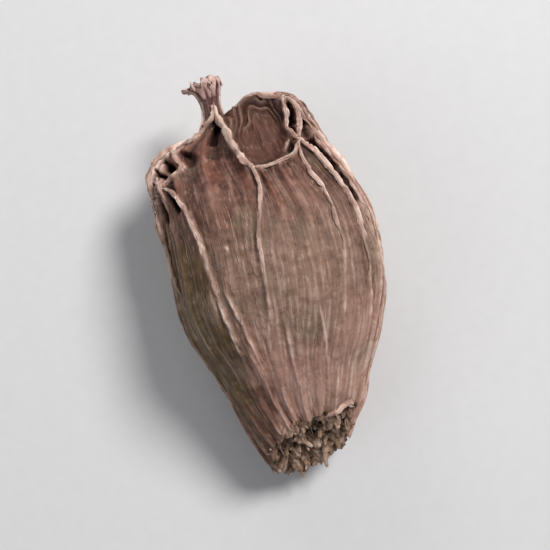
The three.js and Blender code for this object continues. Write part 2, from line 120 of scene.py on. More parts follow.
# Pale cords on the top of the husk, in plan: ridge height, half width, paleness and the half width
# of the cord that stands on the ridge (0 for none), then points (x, y) in millimetres.
FORK = (-2.25, 12.9)
CROSSING = (3.87, 10.03)
CORDS = {
    "left fork": (0.3, 0.24, 1.0, 0.2, [
        (-2.4, 14.1), FORK, (-3.2, 12.4), (-3.6, 11.7), (-3.95, 11.45), (-4.9, 11.35), (-5.9, 11.1)]),
    "shoulder fold": (0.25, 0.22, 0.9, 0.19, [
        (-6.3, 11.1), (-5.9, 10.75), (-5.7, 10.1), (-5.15, 9.4), (-5.9, 8.9), (-6.75, 8.5), (-7.3, 8.1)]),
    "right fork": (0.3, 0.3, 1.0, 0.29, [
        (-2.2, 14.4), FORK, (-1.75, 12.1), (-1.5, 11.0), (-1.05, 9.8), (-0.35, 8.65), (0.05, 8.2)]),
    "middle rib": (0.22, 0.18, 0.9, 0.15, [
        (-0.35, 8.65), (0.05, 8.2), (0.25, 7.3), (0.3, 6.4), (0.05, 5.1), (-0.2, 4.2), (-0.4, 2.4),
        (-0.45, 0.0), (-0.5, -2.5)]),
    "low middle rib": (0.18, 0.18, 0.7, 0, [(-0.45, 0.0), (-0.5, -2.5), (-0.9, -5.0), (-0.6, -8.0)]),
    "pocket rim": (0.3, 0.26, 0.8, 0.17, [
        (-1.2, 13.3), (-0.6, 13.8), (-0.15, 14.45), (0.4, 14.65), (1.3, 14.3), (2.2, 13.8), (2.7, 13.95),
        (3.3, 13.8), (4.0, 13.6), (4.6, 12.9), (4.95, 12.2), (5.3, 11.4), (5.65, 10.6)]),
    "loop left": (0.25, 0.24, 1.0, 0.18, [
        (3.25, 13.8), (3.1, 12.9), (3.35, 12.1), (2.95, 11.4), (3.2, 10.7), CROSSING]),
    "loop right": (0.25, 0.24, 1.0, 0.2, [(3.35, 13.75), (3.95, 13.1), (4.25, 12.4), (4.1, 11.2), CROSSING]),
    "pocket edge": (0.3, 0.24, 0.8, 0.14, [
        CROSSING, (3.5, 9.2), (3.0, 8.7), (2.35, 8.5), (1.3, 8.2), (0.05, 8.2)]),
    "short strand": (0.25, 0.2, 0.7, 0.12, [(3.1, 10.1), (2.8, 9.6), (2.4, 9.15)]),
    "flank rib": (0.35, 0.2, 1.0, 0.17, [
        CROSSING, (4.6, 9.3), (5.4, 8.15), (6.05, 6.9), (6.75, 5.5), (7.25, 3.9), (7.55, 1.5), (7.55, -1.0)]),
    "low flank rib": (0.22, 0.18, 0.8, 0, [(7.6, 1.5), (7.55, -1.0), (7.2, -3.4), (6.6, -6.0), (6.0, -8.5)]),
    "outer flank rib": (0.3, 0.22, 0.9, 0.17, [
        (5.05, 10.6), (5.4, 9.8), (6.1, 8.5), (7.1, 6.7), (7.85, 4.9), (8.25, 2.8)]),
    "inner rib": (0.25, 0.18, 0.9, 0.13, [
        CROSSING, (3.75, 9.2), (4.1, 7.7), (4.9, 6.1), (5.4, 4.4), (5.65, 2.3), (5.8, 1.3)]),
    "low inner rib": (0.18, 0.17, 0.7, 0, [(5.65, 2.3), (5.8, 1.3), (5.5, -1.2), (5.0, -4.0), (4.6, -7.0)]),
    "shoulder rim": (0.3, 0.24, 0.9, 0.2, [
        (-8.1, 7.2), (-8.3, 8.4), (-8.1, 9.5), (-7.6, 10.4), (-6.8, 11.0), (-5.8, 11.15)]),
    "shoulder strand": (0.3, 0.2, 0.8, 0.14, [
        (-7.75, 9.4), (-7.4, 8.6), (-7.35, 7.9), (-7.0, 7.2), (-6.9, 6.5)]),
    "left rib": (0.32, 0.2, 1.0, 0.18, [
        (-7.3, 8.1), (-6.85, 8.0), (-6.4, 7.5), (-5.9, 6.7), (-5.5, 5.7), (-5.15, 4.5), (-4.8, 3.2),
        (-4.6, 1.8), (-4.3, 0.0), (-3.95, -2.0)]),
    "low left rib": (0.22, 0.18, 0.8, 0, [
        (-4.3, 0.0), (-3.95, -2.0), (-3.5, -4.0), (-2.9, -6.5), (-2.2, -9.0)]),
    "left edge": (0.25, 0.2, 0.8, 0.1, [(-8.1, 7.2), (-7.9, 6.0), (-7.6, 3.3), (-7.35, 0.5), (-6.9, -1.5)]),
    "side rib": (0.18, 0.17, 0.7, 0, [(-3.7, 0.2), (-3.35, -1.2), (-2.6, -3.4), (-2.1, -5.5), (-1.4, -8.0)]),
    "torn curl": (0.2, 0.2, 1.0, 0.2, [
        (2.2, -11.9), (3.0, -11.4), (3.9, -11.1), (4.65, -10.95), (4.95, -11.5)]),
    "low thread": (0.12, 0.15, 0.6, 0, [(0.6, -3.0), (0.6, -6.0), (0.9, -9.0), (1.2, -11.0)]),
    "low right thread": (0.12, 0.15, 0.6, 0, [(3.3, -1.5), (3.3, -5.0), (3.2, -8.0), (2.9, -11.0)]),
    "pale fleck": (0.1, 0.15, 1.0, 0, [(-3.15, 2.75), (-2.85, 2.5), (-3.0, 2.1)]),
}

# The shares of a cord's length over which it fades, at a free start and end, where it joins another
# cord, and for the low ridges that have no cord on them
FREE_FADES = (0.15, 0.3)
JOINED_FADE = 0.02
LOW_RIDGE_FADES = (0.25, 0.5)
JOINT_REACH = 0.3

# Gaps where the skin has sunk between the cords, darkened with painted shade: depth, half width, then points
GAPS = {
    "shoulder gap": (1.5, 0.42, [(-6.75, 10.3), (-6.5, 9.95), (-6.3, 9.5)]),
    "shoulder slit": (1.4, 0.3, [(-7.65, 9.7), (-7.35, 9.2), (-6.95, 8.9)]),
    "outer slit": (0.9, 0.22, [(-8.0, 8.6), (-7.85, 7.9), (-7.7, 7.2)]),
    "left slit": (1.0, 0.3, [(-7.5, 6.9), (-7.3, 6.2), (-7.2, 5.4)]),
    "rib slit": (0.7, 0.22, [(-6.75, 7.5), (-6.4, 6.8), (-6.2, 6.0)]),
    "fold gap": (0.6, 0.5, [(-5.2, 10.4), (-4.75, 10.1), (-4.6, 9.7)]),
    "under the fork": (0.9, 0.5, [(-2.35, 12.2), (-2.6, 11.5), (-2.75, 10.9)]),
    "fork foot": (0.35, 0.7, [(-2.7, 10.9), (-2.9, 9.9)]),
    "loop hole": (1.5, 0.34, [(3.6, 13.1), (3.75, 12.4), (3.65, 11.6)]),
    "small loop hole": (1.0, 0.22, [(3.5, 11.2), (3.65, 10.7)]),
    "edge gap": (1.0, 0.24, [(3.3, 9.7), (3.05, 9.25)]),
    "right of the loop": (0.9, 0.3, [(4.65, 12.3), (4.55, 11.2), (4.6, 10.4)]),
    "flank slit": (0.85, 0.42, [(4.85, 9.9), (5.55, 9.0), (6.35, 7.7), (7.0, 6.2), (7.5, 4.8)]),
    "outer flank slit": (0.4, 0.4, [(6.1, 10.4), (7.0, 8.9), (7.8, 7.0), (8.3, 5.2)]),
    "torn slot": (0.8, 0.24, [(3.2, -11.9), (4.2, -11.6), (4.9, -11.3)]),
}

# The fine mesh: columns round the husk, halved where it is thin, and rings along it
COLUMNS = 448
RINGS = 224
SEAM_RIB = 14  # the mesh starts on an underside rib, so its seam is out of sight

RIBS_WITH_CORDS = [0, 9, *range(len(TOP_RIBS), RIB_COUNT)]
LOOSE_FIBRES = 60
FLOOR_GAP = 0.02  # the least air under a strand
# The pieces of the stalk scar: how many, how many turns behind the torn rim their roots lie, their
# length and half width, and their thickness as a share of that
SCAR_PIECES = {
    "bundle": {"count": 60, "behind": (0.6, 2.0), "length": (0.5, 1.2), "width": (0.14, 0.32), "flat": 0.75},
    "shred": {"count": 52, "behind": (-0.2, 0.5), "length": (0.35, 0.85), "width": (0.16, 0.36), "flat": 0.3},
    "fibre": {"count": 80, "behind": (0.0, 1.9), "length": (0.5, 1.3), "width": (0.03, 0.07), "flat": 0.85},
}
HUSK_SIDE_OF_SCAR = -0.9  # left of this the torn end is husk, and right of it the tan scar
CALYX_LOBES = 9

# The rows of the noise's table, and a count of columns that no point in plan comes round to
NOISE_ROWS = 512
NO_WRAP = 400


def ramp(start, end, x):
    """0 before the start, 1 past the end, and a smooth climb between them."""
    t = np.clip((x - start) / (end - start), 0, 1)
    return t * t * (3 - 2 * t)


def bump(x, middle, width):
    return np.exp(-(((x - middle) / width) ** 2))


def draw(n):
    """The solid's repeatable draw between -1 and 1 for the whole number n."""
    value = np.sin(np.asarray(n) * 12.9898 + 4.1414) * 43758.5453
    return 2 * (value - np.floor(value)) - 1


@functools.lru_cache(maxsize=None)
def slopes(period, seed):
    turn = np.random.default_rng(seed).uniform(0, TAU, (NOISE_ROWS, period))
    return np.cos(turn), np.sin(turn)


def noise(x, y, period, seed):
    """Smooth gradient noise, about -1 to 1, one cell a unit. It wraps in x after the period."""
    slope_x, slope_y = slopes(period, seed)
    x, y = np.broadcast_arrays(x, y)
    cell_x, cell_y = np.floor(x).astype(int), np.floor(y).astype(int)
    in_x, in_y = x - cell_x, y - cell_y
    fade_x = in_x**3 * (in_x * (in_x * 6 - 15) + 10)
    fade_y = in_y**3 * (in_y * (in_y * 6 - 15) + 10)

    def corner(dx, dy):
        i, j = (cell_x + dx) % period, (cell_y + dy) % NOISE_ROWS
        return slope_x[j, i] * (in_x - dx) + slope_y[j, i] * (in_y - dy)

    low = corner(0, 0) * (1 - fade_x) + corner(1, 0) * fade_x
    high = corner(0, 1) * (1 - fade_x) + corner(1, 1) * fade_x
    return 1.5 * (low * (1 - fade_y) + high * fade_y)


def round_noise(a, d, per_rib, length, seed):
    """Noise on the husk with so many cells to a rib, each of the given length."""
    return noise(per_rib * a, d / length, per_rib * RIB_COUNT, seed)


def plan_noise(x, y, scale, start, seed):
    """Noise on a plane in millimetres."""
    return noise(x * scale + start, y * scale + start, NO_WRAP, seed)


def spline(a, b, c, d, t):
    """The smooth curve from b to c, with a before them and d after, at the share t of the way."""
    return 0.5 * (2 * b + (c - a) * t + (2 * a - 5 * b + 4 * c - d) * t**2 + (3 * b - a - 3 * c + d) * t**3)


def curve_through(points, step=0.12):
    """A smooth curve through a few points in plan, as many short steps."""
    control = np.array([points[0], *points, points[-1]], float)
    pieces = []
    for a, b, c, d in zip(control, control[1:], control[2:], control[3:]):
        count = max(2, int(np.hypot(*(c - b)) / step))
        pieces.append(spline(a, b, c, d, np.linspace(0, 1, count, endpoint=False)[:, None]))
    return np.vstack([*pieces, control[-1:]])


def distance_in_plan(x, y, points, reach=2, beyond=9.0):
    """How far points in plan are from a curve, or beyond, and the share of it at the nearest place."""
    curve = curve_through(points)
    far, place = np.full(x.shape, beyond), np.zeros(x.shape)
    low, high = curve.min(axis=0) - reach, curve.max(axis=0) + reach
    near = (x > low[0]) & (x < high[0]) & (y > low[1]) & (y < high[1])
    here = np.stack([x[near], y[near]], axis=-1)
    best, found = np.full(len(here), beyond**2), np.zeros(len(here))
    for index, (start, end) in enumerate(zip(curve[:-1], curve[1:])):
        along = end - start
        share = np.clip((here - start) @ along / max(along @ along, 1e-9), 0, 1)
        gap = ((here - start - share[:, None] * along) ** 2).sum(axis=-1)
        found = np.where(gap < best, (index + share) / (len(curve) - 1), found)
        best = np.minimum(best, gap)
    far[near], place[near] = np.sqrt(best), found
    return far, place


@functools.lru_cache(maxsize=None)
def fades(name):
    """Over what share of its length a cord fades in at its start, and out at its end."""
    _, _, _, cord, points = CORDS[name]
    if cord == 0:
        return LOW_RIDGE_FADES
    others = [curve_through(other[4]) for key, other in CORDS.items() if key != name and other[3] > 0]

    def joins(point):
        return min(np.hypot(*(curve - point).T).min() for curve in others) < JOINT_REACH

    ends = (points[0], points[-1])
    return tuple(JOINED_FADE if joins(end) else free for end, free in zip(ends, FREE_FADES))


def fade_along(name, reached):
    """How much of a cord is left at the share reached of its length."""
    start, end = fades(name)
    return ramp(0, start, reached) * ramp(1, 1 - end, reached)


def rib_table():
    """The place and height of every rib, each at the shoulder, the waist and the torn end."""
    first = TOP_RIBS[-1][0][1]
    step = (360 + TOP_RIBS[0][0][1] - first) / (UNDERSIDE_RIBS + 1)
    at = [rib[0] for rib in TOP_RIBS]
    height = [rib[1] for rib in TOP_RIBS]
    for k in range(UNDERSIDE_RIBS):
        middle = first + (k + 1) * step
        at.append([middle + UNDERSIDE_STRAY * step * float(draw(3 * k + s)) for s in range(3)])
        height.append(UNDERSIDE_HEIGHT * (1 + UNDERSIDE_VARIES * float(draw(k + 40))))
    return np.array(at, float), np.array(height, float)


RIB_AT, RIB_HEIGHT = rib_table()


def turn_at(p):
    """The seven outline values of the turn at place p, in millimetres."""
    i = np.clip(np.floor(p).astype(int), 0, LAST_PLACE - 1)
    turns = (STACK[np.clip(i + k, 0, LAST_PLACE)] for k in (-1, 0, 1, 2))
    return spline(*turns, (p - i)[..., None])


def smooth_point(angle, p):
    """The smooth husk before any ribs."""
    angle, p = np.broadcast_arrays(angle, p)
    left_x, left_y, right_x, right_y, low, high, nod = np.moveaxis(turn_at(p), -1, 0)
    swell = 1 + SQUARENESS * np.sin(2 * angle) ** 2
    across, up = np.cos(angle) * swell, np.sin(angle) * swell
    x = (left_x + right_x) / 2 + across * (right_x - left_x) / 2
    y = (left_y + right_y) / 2 + across * (right_y - left_y) / 2 + up * nod / 2
    return np.stack([x, y, (low + high) / 2 + up * (high - low) / 2], axis=-1)


def unit(v):
    return v / np.maximum(np.linalg.norm(v, axis=-1, keepdims=True), 1e-9)


def directions(angle, p):
    """The unit directions out of the husk and round its turn."""
    turn_step, place_step = 0.02, 0.05
    round_it = unit(smooth_point(angle + turn_step, p) - smooth_point(angle - turn_step, p))
    ahead = smooth_point(angle, np.minimum(p + place_step, LAST_PLACE))
    along = ahead - smooth_point(angle, np.maximum(p - place_step, 0))
    return unit(np.cross(along, round_it)), round_it


def axis_share(p):
    """The share of the pod's length at the middle of the turn at place p."""
    middle = (smooth_point(TAU / 4, p) + smooth_point(-TAU / 4, p)) / 2
    return middle[..., 1] / POD_LENGTH


def along_rib(stations, y):
    """A rib value between its shoulder, waist and torn end, at the share y of the length."""
    shoulder, waist, torn = stations[..., 0], stations[..., 1], stations[..., 2]
    up = ramp(WAIST_STATION, SHOULDER_STATION, y)
    down = ramp(WAIST_STATION, TORN_STATION, y)
    return waist + (shoulder - waist) * up + (torn - waist) * down


def pocket_place(x, y):
    """How far a point in plan is from the middle of the pocket, across and along, in pocket sizes."""
    return (x / POD_WIDTH - POCKET["x"]) / POCKET["across"], (y / POD_LENGTH - POCKET["y"]) / POCKET["along"]


def pocket_depth(out):
    bowl = POCKET["depth"] * ramp(POCKET["wall_end"], POCKET["floor_end"], out)
    rim = POCKET["rim_height"] * bump(out, POCKET["wall_end"], POCKET["rim_width"])
    return POD_HEIGHT * (bowl - rim)


def rib_split(a):
    """The rib before the rib coordinate a, the one after it, and the share of the way between."""
    k = np.floor(a).astype(int)
    return k % RIB_COUNT, (k + 1) % RIB_COUNT, a - k


def angle_of(a, y):
    """The angle round the pod of the rib coordinate a at the share y of the length."""
    before, after, share = rib_split(a)
    start = along_rib(RIB_AT[before], y)
    end = along_rib(RIB_AT[after], y) + np.where(after == 0, 360, 0)
    laps = np.floor(a / RIB_COUNT) * 360
    return np.radians(start + (end - start) * share + laps)


def wear(x, y):
    """How much of a cord is worn away at a point in plan: more of it further down the body."""
    patchy = plan_noise(x, y, 0.35, 60, 39) + 0.3 * plan_noise(x, y, 1.4, 90, 42)
    return ramp(8, 1, y) * ramp(-0.35, 0.45, patchy)


def rib_drift(a, d):
    """How far the ribs stray from their places, in ribs."""
    return 0.07 * round_noise(a, d, 1, 5, 31)


def ridged(n):
    """Noise folded into sharp crests, 0 to 1."""
    return 1 - np.minimum(1, np.abs(n) * 1.6)


def strands(a, d, gap_width, per_gap, half_width, length, seed):
    """Thin strands along the husk, each one fading in and out, as a profile from 0 to 1."""
    lap = per_gap * RIB_COUNT
    across = per_gap * (a + 0.12 * round_noise(a, d, 1, 7, seed))
    across = across + 0.2 * noise(across, d / 2.5, lap, seed + 1)
    number = np.floor(across + 0.5)
    off = across - number - 0.2 * draw(number % lap + seed)
    present = ramp(-0.35, 0.5, noise(number + 0.5, d / length, lap, seed + 2))
    return bump(off * gap_width / per_gap, 0, half_width) * present


def fine_relief(z, gap_width):
    """Relief of the strands, fibres and wrinkles in millimetres, and how pale each point is."""
    a, d = z.a, z.d
    strand = strands(a, d, gap_width, 4, 0.11, 6.0, 14)
    thread = strands(a, d, gap_width, 7, 0.085, 3.5, 24)
    patch = 0.5 + 0.5 * round_noise(a, d, 1, 6, 11)
    skew = 2 * a + 0.3 * round_noise(a, d, 2, 2.2, 17)
    wrinkle = ridged(noise(skew, d / 0.9, 2 * RIB_COUNT, 18)) ** 1.5 - 0.4
    wrinkle = wrinkle * ramp(0.3, 0.8, patch + 0.3 * z.shoulder)
    plain = (1 - z.face * (0.5 - 0.15 * z.lower)) * np.minimum(1, gap_width / 2)
    relief = (RELIEF["strand"] * strand + RELIEF["thread"] * thread) * plain
    relief += RELIEF["face"] * z.face * round_noise(a, d, 6, 0.8, 22)
    relief += (RELIEF["wrinkle"] + RELIEF["shoulder_wrinkle"] * z.shoulder) * wrinkle
    relief += RELIEF["shoulder_lumps"] * z.shoulder * round_noise(a, d, 2, 1.6, 19)
    relief += RELIEF["grain"] * round_noise(a, d, 8, 0.5, 20)
    relief += RELIEF["broad"] * noise(a * BROAD_WAVES / RIB_COUNT, d / 6.5, BROAD_WAVES, 21)
    pale = np.maximum((0.3 + 0.7 * z.lower) * strand * (0.5 + 0.6 * patch), (0.3 + 0.2 * z.lower) * thread)
    pale = pale * plain * (1 - 0.7 * z.right_band) * (1 - 0.65 * z.left_flank)
    return relief * (0.25 + 0.75 * z.girth) * (1 - 0.5 * z.right_band), pale


def tooth(a):
    """The uneven edge of a torn rim: long teeth on the ribs, short ones on the strands."""
    before, _, share = rib_split(a)
    long = (0.6 + 0.4 * draw(before + 90)) * np.cos(TAU * share)
    strand = np.floor(3 * share)
    between = 3 * share - strand
    first, second = draw(3 * before + strand + 200), draw(3 * before + strand + 201)
    return 0.6 * long + 0.4 * (first + (second - first) * between)


def skin_zones(a, p, d):
    """The smooth skin at rib coordinate a, place p and distance d along, and its share of each zone."""
    z = SimpleNamespace(a=a, p=p, d=d, y=axis_share(p))
    left_x, _, right_x, _, low_z, high_z, _ = np.moveaxis(turn_at(p), -1, 0)
    z.radius = np.sqrt((right_x - left_x) * (high_z - low_z)) / 2
    z.girth = np.minimum(1, (right_x - left_x) / (0.6 * POD_WIDTH))
    z.body = z.girth * ramp(TORN_RIM - 1, TORN_RIM + 1, p)
    z.shoulder = ramp(RUFFLE["from"], RUFFLE["to"], z.y)
    z.lower = ramp(0.05, -0.3, z.y)
    angle = angle_of(a, z.y)
    z.outward, z.round_it = directions(angle, p)
    z.smooth = smooth_point(angle, p)
    right, z.high = np.cos(angle), np.sin(angle)  # across and up the turn, -1 to 1
    z.up = ramp(0.1, 0.5, z.high)
    z.face = ramp(0.25, 0.6, z.high) * ramp(TORN_RIM, PLACE["lower_taper"], p)
    z.left_flank = z.lower * ramp(0.2, 0.6, -right) * ramp(-0.35, 0.1, z.high)
    # A band high on the right flank: its relief is calmer, and its darker colour is painted shade.
    z.right_band = ramp(0.5, 0.85, right) * ramp(-0.15, 0.2, z.high)
    z.right_band = z.right_band * ramp(0.08, 0.2, z.y)
    z.pocket = pocket_place(z.smooth[..., 0], z.smooth[..., 1])
    z.pocket_out = np.hypot(*z.pocket)
    z.in_pocket = ramp(1.15, 0.85, z.pocket_out) * z.up
    return z


def rib_relief(z):
    """The height of the ribs and of their crest lines, how near a rib is, and the width of its gap."""
    before, after, share = rib_split(z.a + rib_drift(z.a, z.d))
    first, second = along_rib(RIB_HEIGHT[before], z.y), along_rib(RIB_HEIGHT[after], z.y)
    turn = (along_rib(RIB_AT[after], z.y) - along_rib(RIB_AT[before], z.y)) % 360
    gap_width = np.radians(turn) * z.radius
    worn = 0.8 + 0.35 * round_noise(z.a, z.d, 2, 2.4, 32)
    line_width = 0.18 + 0.07 * z.shoulder
    near, far = bump(share, 0, 0.28), bump(share, 1, 0.28)
    near_line = bump(share * gap_width, 0, line_width)
    far_line = bump((1 - share) * gap_width, 0, line_width)
    calm = (1 - 0.75 * z.left_flank) * (1 - 0.7 * z.right_band)
    lines = (first * near_line + second * far_line) * worn * (1 - 0.95 * z.face) * calm
    swell = (first * near + second * far) * (0.6 - 0.4 * z.face) * (1 - 0.5 * z.left_flank)
    sag = (0.1 + 0.25 * z.shoulder) * np.sin(np.pi * share)
    ribs = swell + 0.6 * lines - RIB_MEAN * (first + (second - first) * share) - sag
    return ribs * z.body, lines, near + far, gap_width


def ruffle(z, near_rib):
    """How far the ruffled crests of the underside stand out, and how far they sway round the pod."""
    rib = np.round(z.a) % RIB_COUNT
    phase = TAU * RUFFLE["waves"] * (1 + 0.35 * draw(rib + 60)) * z.p
    phase += RUFFLE["shift"] * rib + 1.2 * round_noise(z.a, z.d, 1, 2, 33)
    curl = near_rib * z.shoulder * ramp(0.1, -0.45, z.high) * z.body
    return RUFFLE["height"] * curl * np.sin(phase), RUFFLE["sway"] * curl * np.cos(phase)


def pocket_folds(z):
    """Arcs of folded skin in the pocket: 1 on a crest and -1 between two."""
    across, along = z.pocket
    strayed = z.pocket_out + 0.2 * plan_noise(across, along, 2, 30, 40)
    arcs = np.cos(TAU * FOLDS_IN_POCKET * strayed) * bump(strayed, 0.75, 0.3)
    return arcs * z.up * ramp(-0.3, 0.4, along)


def skin_relief(z):
    """How far the skin stands out of the smooth husk, how far it sways round it, and how pale it is."""
    ribs, lines, near_rib, gap_width = rib_relief(z)
    out, sway = ruffle(z, near_rib)
    detail, streak = fine_relief(z, gap_width)
    folds = pocket_folds(z)
    height = (ribs + out) * (1 - 0.8 * z.in_pocket) + 0.2 * folds
    height += detail * ramp(TORN_RIM - 1, TORN_RIM + 0.3, z.p) * (1 - 0.6 * z.in_pocket)
    pale = np.maximum(streak * (1 - 0.5 * z.in_pocket), np.minimum(1, 1.6 * lines) * (1 - z.in_pocket))
    return height, sway * (1 - z.in_pocket), np.maximum(pale, 0.3 * folds)


def add_cords_and_gaps(z, point, pale):
    """The points and paleness with the cords' ridges and the sunk gaps, and how far those reach."""
    rises = z.outward[..., 2]
    below_neck = ramp(PLACE["neck_root"] + 1, PLACE["neck_root"], z.p) * (z.high > -0.2)
    on_top = below_neck * ramp(-0.1, 0.3, rises)
    wobble = 0.07 * plan_noise(point[..., 0], point[..., 1], 1.3, 40, 36)
    x, y = point[..., 0] + wobble, point[..., 1] + wobble
    raised, sunk, beside = (np.zeros_like(x) for _ in range(3))
    left_over = 1 - wear(x, y)
    rise = np.maximum(rises, STEEPEST_CORD)
    for name, (tall, wide, paleness, _, points) in CORDS.items():
        away, reached = distance_in_plan(x, y, points)
        away = away / rise
        fade = fade_along(name, reached)
        stands = (0.45 + 0.55 * left_over) * tall * fade
        raised = np.maximum(raised, stands * bump(away, 0, 0.85 * wide))
        beside = np.maximum(beside, 0.35 * stands * bump(away, 2.2 * wide, wide))
        shown = paleness * (0.3 + 0.7 * left_over) * fade
        pale = np.maximum(pale, shown * bump(away, 0, 0.65 * wide) * on_top)
    for deep, wide, points in GAPS.values():
        away, _ = distance_in_plan(x, y, points)
        sunk = np.maximum(sunk, deep * bump(away / rise, 0, wide))
    sunk = sunk * below_neck * ramp(0.05, 0.3, rises)
    relief = (raised - beside * (1 - raised / 0.4)) * on_top
    inward = -unit(z.outward + np.array([0, 0, 2.5]))
    steep = np.sqrt(np.maximum(rise, STEEPEST_GAP))
    point = point + z.outward * relief[..., None] + inward * (sunk / steep)[..., None]
    # Paleness fades out in the sunk gaps, as painted shade.
    return point, pale * (1 - 0.9 * np.clip(sunk / 0.4, 0, 1)), relief, sunk


def tear_ends(z, point):
    """Tears the stalk end and the calyx lip, roughens the scar, and returns the painted shade that darkens
    its sunk middle.
    """
    edge = 0.4 * tooth(z.a) + 0.6 * round_noise(z.a, z.p, 2, 1, 34) + 0.3 * round_noise(z.a, z.p, 6, 0.5, 35)
    point[..., 1] -= TORN["stalk_teeth"] * edge * bump(z.p, TORN_RIM, TORN["reach"])
    lobes = noise(z.a * CALYX_LOBES / RIB_COUNT, 0 * z.p, CALYX_LOBES, 41)
    point[..., 1] += TORN["calyx_teeth"] * lobes * bump(z.p, PLACE["calyx_lip"], TORN["reach"])
    scar = ramp(TORN_RIM, PLACE["scar_wall"], z.p)
    lumps = np.zeros_like(scar)
    for size, scale, start, seed in ((1, 1.1, 50, 37), (0.6, 2.6, 90, 38), (0.3, 5.5, 90, 43)):
        lumps += size * plan_noise(point[..., 0], point[..., 2], scale, start, seed)
    point[..., 1] += (TORN["lumps"] * lumps - TORN["sunk"]) * scar
    return 0.8 * scar * ramp(-0.2, 0.5, lumps)


def husk_surface(a, p, d):
    """The husk's points at rib coordinate a and place p, with the masks that its material reads."""
    z = skin_zones(a, p, d)
    height, sway, pale = skin_relief(z)
    point = z.smooth + z.outward * height[..., None] + z.round_it * sway[..., None]
    point, pale, relief, sunk = add_cords_and_gaps(z, point, pale)
    point[..., 2] -= z.up * pocket_depth(z.pocket_out)
    scar_shade = tear_ends(z, point)
    point[..., 0] -= AXIS_OFFSET
    lift = REST_DEPTH * ramp(TORN_RIM, PLACE["upper_taper"], p)
    point[..., 2] = np.maximum(0, point[..., 2] - lift)
    # This mask is painted shade: it darkens the sunk gaps, the sunk middle of the stalk scar, the pocket and
    # a band on the right flank.
    hollow = np.maximum(sunk / 0.6, scar_shade) + 0.45 * z.in_pocket + 0.45 * z.right_band * (1 - pale)
    return point, {"height": height + relief - sunk, "pale": pale, "hollow": hollow}


@functools.lru_cache(maxsize=None)
def ring_places():
    """The rings' places, closer together where the husk crumples and curls, and their distances along."""
    p = np.linspace(0, LAST_PLACE, 4001)
    angles = np.linspace(0, TAU, 24, endpoint=False)[:, None]
    step = np.linalg.norm(np.diff(smooth_point(angles, p[None, :]), axis=1), axis=-1).mean(axis=0)
    along = np.concatenate([[0], np.cumsum(step)])
    middle = (p[1:] + p[:-1]) / 2
    crowded = 1 + 0.8 * ramp(PLACE["upper_belly"], PLACE["shoulder"], middle)
    crowded -= 0.4 * ramp(PLACE["neck_root"], PLACE["neck"], middle)
    crowded += 0.8 * ramp(TORN_RIM + 0.3, TORN_RIM, middle)
    share = np.concatenate([[0], np.cumsum(step * crowded)])
    places = np.interp(np.linspace(0, share[-1], RINGS), share, p)
    return places, np.interp(places, p, along)


def column_coordinates():
    """Rib coordinates of the columns, evenly spaced round the waist, from the seam once round."""
    fine = np.linspace(0, RIB_COUNT, 8001) + SEAM_RIB
    turned = angle_of(fine, np.zeros_like(fine))
    even = np.linspace(turned[0], turned[-1], COLUMNS, endpoint=False)
    return np.interp(even, turned, fine)


def windows(values, reach):
    """The rows shifted by each number up to the reach, where the end rows stand in past the ends."""
    padded = np.concatenate([values[:1]] * reach + [values] + [values[-1:]] * reach)
    return [padded[k:k + len(values)] for k in range(2 * reach + 1)]


def above_mean(height, columns, rows):
    """How far each point stands above the mean of those round it."""
    mean = np.mean([np.roll(height, k, axis=1) for k in range(-columns, columns + 1)], axis=0)
    return height - np.mean(windows(mean, rows), axis=0)


def new_object(name, vertices, faces, material, masks=None, uvs=()):
    """A smooth mesh object from points in millimetres, with its masks as attributes."""
    mesh = bpy.data.meshes.new(name)
    mesh.from_pydata((np.asarray(vertices) * MM).tolist(), [], faces)
    mesh.polygons.foreach_set("use_smooth", [True] * len(mesh.polygons))
    for key, values in (masks or {}).items():
        kind, field = ("FLOAT", "value") if values.ndim == 1 else ("FLOAT_VECTOR", "vector")
        layer = mesh.attributes.new(key, kind, "POINT")
        layer.data.foreach_set(field, values.astype(np.float32).ravel())
    if uvs:
        layer = mesh.uv_layers.new(name="OFBake")
        layer.data.foreach_set("uv", np.asarray(uvs, dtype=np.float32).ravel())
    mesh.materials.append(material)
    mesh.update()
    obj = bpy.data.objects.new(name, mesh)
    bpy.context.scene.collection.objects.link(obj)
    return obj


def ring_faces(sizes, v, first=0, left=0.0, width=1.0):
    """The faces of a skin of rings, each with so many points, and their corners in the bake map.

    A ring has as many points as the next one, or half or twice as many, or it is a tip of one point.
    """
    starts = (first + np.cumsum([0, *sizes])).tolist()
    faces, uvs = [], []

    def add(*corners):
        faces.append([starts[i] + round(turn * sizes[i]) % sizes[i] for i, turn in corners])
        uvs.extend([(left + width * turn, v[i]) for i, turn in corners])

    for i, (low, high) in enumerate(zip(sizes, sizes[1:])):
        cells = max(low, high) if 1 in (low, high) else min(low, high)
        for cell in range(cells):
            # a, b and c are the start, middle and end of the cell on this ring, d, e and f on the next
            a, b, c = ((i, (cell + part) / cells) for part in (0, 0.5, 1))
            d, e, f = ((i + 1, (cell + part) / cells) for part in (0, 0.5, 1))
            if low == high:
                add(a, c, f, d)
            elif high == 1:
                add(a, c, e)
            elif low == 1:
                add(b, f, d)
            elif low > high:
                add(a, b, d)
                add(b, f, d)
                add(b, c, f)
            else:
                add(a, e, d)
                add(a, c, e)
                add(c, f, e)
    return faces, uvs


def capped(rings, tips):
    """The values of the points of some rings, between those of the two tips."""
    return np.concatenate([tips[:1], rings, tips[1:]])


def colour_masks(masks, a, p, d):
    """The masks with raised, flow and place instead of the height."""
    height = masks.pop("height")
    local, broad = above_mean(height, 6, 4), above_mean(height, 24, 14)
    # In the material this mask darkens the valleys as painted shade and lightens the worn crests.
    masks["raised"] = np.clip(local / 0.15, -1, 1) * 0.6 + np.clip(broad / 0.5, -1, 1) * 0.4
    angle = angle_of(a, smooth_point(TAU / 4, p)[..., 1] / POD_LENGTH)
    masks["flow"] = np.stack([np.cos(angle), np.sin(angle), d / 10], axis=-1)
    masks["place"] = p
    return masks


